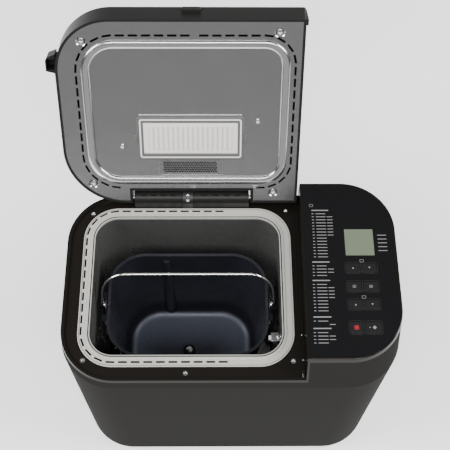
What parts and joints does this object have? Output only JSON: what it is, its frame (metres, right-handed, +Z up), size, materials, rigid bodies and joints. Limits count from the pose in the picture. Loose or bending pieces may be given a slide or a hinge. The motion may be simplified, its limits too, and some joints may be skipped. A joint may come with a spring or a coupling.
{
  "type": "bread machine",
  "caption": "Countertop bread machine with a hinged lid standing open, a lift-out baking pan with a wire handle, a belt-driven kneading blade and a control panel beside the lid.",
  "frame": {"origin": "bottom centre of the whole machine's box with the lid standing open", "axes": "+X to the right as seen from the front, +Y to the back, +Z up"},
  "size_m": [0.42, 0.3856, 0.5454],
  "materials": {
    "casing": "fine satin grain",
    "lid_shell": "satin",
    "deck_gloss": "polished",
    "panel_gloss": "polished",
    "key_caps": "semi-gloss",
    "black_plastic": "satin",
    "rubber": "matt",
    "ring_metal": "satin light grey",
    "chamber_sheet": "satin dark grey",
    "element_sheath": "oxidised",
    "bright_steel": "bright",
    "lid_steel": "satin rolled",
    "cast_parts": "die cast",
    "motor_case": "pressed steel",
    "zinc_plate": "zinc plated",
    "circuit_board": "solder mask",
    "display_glass": "reflective display",
    "ivory_plastic": "satin ivory",
    "frame_plastic": "satin grey",
    "pan_coating": "non-stick coating",
    "wire_chrome": "polished wire",
    "pulley_plastic": "moulded"
  },
  "bodies": {
    "housing": {"rubber_feet": "rubber", "base_tray": "casing", "outer_case": "casing", "cord_gland": "black_plastic", "top_housing": "deck_gloss", "deck_plate": "deck_gloss", "housing_screws": "bright_steel", "chamber_ring": "ring_metal", "oven_chamber": "chamber_sheet", "heater_element": "element_sheath", "heater_clips": "bright_steel", "temperature_sensor": "bright_steel", "pan_seat": "bright_steel", "drive_bearing": "cast_parts", "drive_belt": "rubber", "motor_body": "motor_case", "chassis_frame": "zinc_plate", "chassis_screws": "bright_steel", "power_board": "circuit_board", "control_board": "circuit_board", "panel_fascia": "panel_gloss", "lcd_window": "display_glass", "lcd_module": "black_plastic", "hinge_covers": "lid_shell", "hinge_bracket": "black_plastic", "hinge_pin": "bright_steel"},
    "lid": {"lid_cover": "lid_shell", "lid_plate": "lid_steel", "lid_screws": "bright_steel", "vent_mesh": "lid_steel", "dispenser_box": "ivory_plastic", "dispenser_frame": "frame_plastic", "lid_grip": "lid_shell", "steam_vent": "lid_shell", "lid_hinge_arms": "zinc_plate"},
    "flap": {"dispenser_flap": "ivory_plastic"},
    "bin_cover": {"dispenser_cover": "lid_shell"},
    "pan": {"baking_pan": "pan_coating", "pan_ears": "pan_coating", "ear_rivets": "bright_steel", "pan_base": "cast_parts", "shaft_seal": "black_plastic"},
    "handle": {"pan_handle": "wire_chrome"},
    "blade": {"pan_shaft": "bright_steel", "kneading_blade": "pan_coating", "pan_coupler": "cast_parts"},
    "drive": {"drive_shaft": "bright_steel", "drive_coupling": "cast_parts", "drive_pulley": "pulley_plastic"},
    "motor_rotor": {"motor_pulley": "cast_parts"},
    "key_time_up": {"key_time_up": "key_caps"},
    "key_time_down": {"key_time_down": "key_caps"},
    "key_size": {"key_size": "key_caps"},
    "key_crust": {"key_crust": "key_caps"},
    "key_menu_up": {"key_menu_up": "key_caps"},
    "key_menu_down": {"key_menu_down": "key_caps"},
    "key_stop": {"key_stop": "key_caps"},
    "key_start": {"key_start": "key_caps"}
  },
  "joints": [
    {"name": "lid_hinge", "type": "hinge", "parent": "housing", "child": "lid", "pos_m": [0.006, 0.05073, 0.3335], "axis": [-1, 0, 0], "range_deg": [-119.8, 0]},
    {"name": "flap_hinge", "type": "hinge", "parent": "lid", "child": "flap", "pos_m": [0.006, 0.07936, 0.39697], "axis": [1, 0, 0], "range_deg": [0, 80]},
    {"name": "bin_cover_hinge", "type": "hinge", "parent": "lid", "child": "bin_cover", "pos_m": [0.006, 0.10357, 0.37526], "axis": [-1, 0, 0], "range_deg": [0, 100]},
    {"name": "pan_lift", "type": "slide", "parent": "housing", "child": "pan", "axis": [0, 0, 1], "range_m": [0, 0.26]},
    {"name": "handle_hinge", "type": "hinge", "parent": "pan", "child": "handle", "pos_m": [-0.0474, -0.06827, 0.2645], "axis": [1, 0, 0], "range_deg": [-60, 108]},
    {"name": "drive_spin", "type": "hinge", "parent": "housing", "child": "drive", "pos_m": [-0.0494, -0.08127, 0.06], "axis": [0, 0, 1], "continuous": true},
    {"name": "blade_spin", "type": "hinge", "parent": "pan", "child": "blade", "pos_m": [-0.0494, -0.08127, 0.1], "axis": [0, 0, 1], "continuous": true},
    {"name": "motor_spin", "type": "hinge", "parent": "housing", "child": "motor_rotor", "pos_m": [0.144, -0.07277, 0.05], "axis": [0, 0, 1], "continuous": true},
    {"name": "key_time_up_press", "type": "slide", "parent": "housing", "child": "key_time_up", "axis": [0, 0, -1], "range_m": [0, 0.0006], "stiffness_N_per_m": 250, "springref_m": -0.001},
    {"name": "key_time_down_press", "type": "slide", "parent": "housing", "child": "key_time_down", "axis": [0, 0, -1], "range_m": [0, 0.0006], "stiffness_N_per_m": 250, "springref_m": -0.001},
    {"name": "key_size_press", "type": "slide", "parent": "housing", "child": "key_size", "axis": [0, 0, -1], "range_m": [0, 0.0006], "stiffness_N_per_m": 250, "springref_m": -0.001},
    {"name": "key_crust_press", "type": "slide", "parent": "housing", "child": "key_crust", "axis": [0, 0, -1], "range_m": [0, 0.0006], "stiffness_N_per_m": 250, "springref_m": -0.001},
    {"name": "key_menu_up_press", "type": "slide", "parent": "housing", "child": "key_menu_up", "axis": [0, 0, -1], "range_m": [0, 0.0006], "stiffness_N_per_m": 250, "springref_m": -0.001},
    {"name": "key_menu_down_press", "type": "slide", "parent": "housing", "child": "key_menu_down", "axis": [0, 0, -1], "range_m": [0, 0.0006], "stiffness_N_per_m": 250, "springref_m": -0.001},
    {"name": "key_stop_press", "type": "slide", "parent": "housing", "child": "key_stop", "axis": [0, 0, -1], "range_m": [0, 0.0006], "stiffness_N_per_m": 250, "springref_m": -0.001},
    {"name": "key_start_press", "type": "slide", "parent": "housing", "child": "key_start", "axis": [0, 0, -1], "range_m": [0, 0.0006], "stiffness_N_per_m": 250, "springref_m": -0.001}
  ],
  "couplings": [
    {"joint": "blade_spin", "follows": "drive_spin", "ratio": 1},
    {"joint": "motor_spin", "follows": "drive_spin", "ratio": 4.5}
  ]
}
